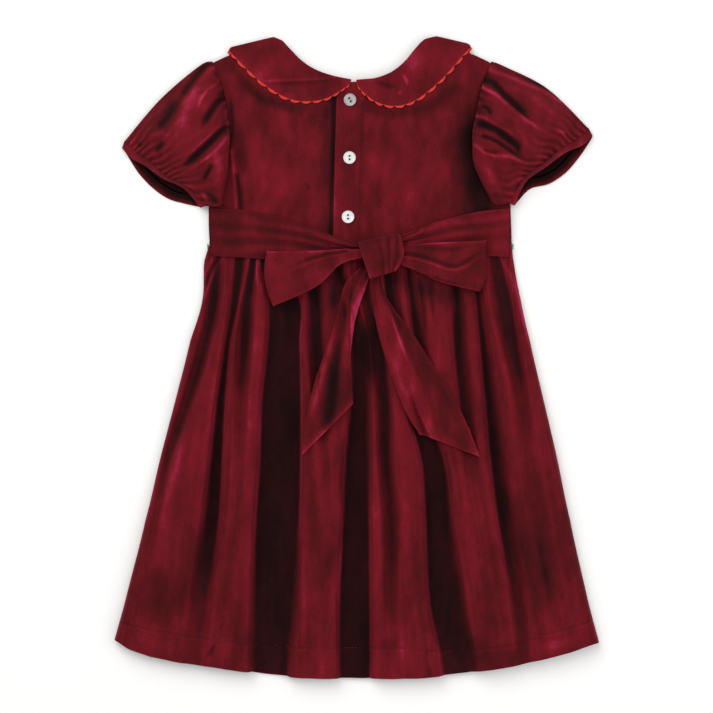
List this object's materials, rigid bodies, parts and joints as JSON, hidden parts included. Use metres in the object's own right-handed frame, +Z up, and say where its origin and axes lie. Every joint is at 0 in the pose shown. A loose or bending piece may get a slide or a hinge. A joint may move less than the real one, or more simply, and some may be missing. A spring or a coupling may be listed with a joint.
{
  "type": "toddler party dress laid flat",
  "caption": "Short-sleeved toddler dress laid flat with its back up: flat round collar, buttoned back, puff sleeves, sash tied in a bow and gathered skirt.",
  "frame": {"origin": "on the surface that the dress lies on, under the middle of its outline", "axes": "+Y runs from the hem to the neck, +Z is up out of the surface, +X is to the right of the back as it is seen"},
  "size_m": [0.4225, 0.5603, 0.0359],
  "materials": {
    "velvet": "deep crimson cotton velvet with a short brushed pile",
    "braid": "woven scalloped braid, orange red",
    "button": "moulded two-hole shirt button, satin white",
    "waist_trim": "narrow white band with a green edge"
  },
  "bodies": {
    "root": {"skirt_front": "velvet", "skirt_back": "velvet", "bodice_front": "velvet", "bodice_back_left": "velvet", "bodice_back_right": "velvet", "front_waist_trim": "waist_trim", "collar_left": "velvet", "collar_right": "velvet", "collar_trim_left": "braid", "collar_trim_right": "braid", "sleeve_left": "velvet", "sleeve_right": "velvet", "cuff_left": "velvet", "cuff_right": "velvet", "sash_left": "velvet", "sash_right": "velvet", "bow_knot": "velvet", "bow_loop_left": "velvet", "bow_loop_right": "velvet", "bow_tail_left": "velvet", "bow_tail_right": "velvet", "button_1": "button", "button_2": "button", "button_3": "button"}
  },
  "joints": []
}
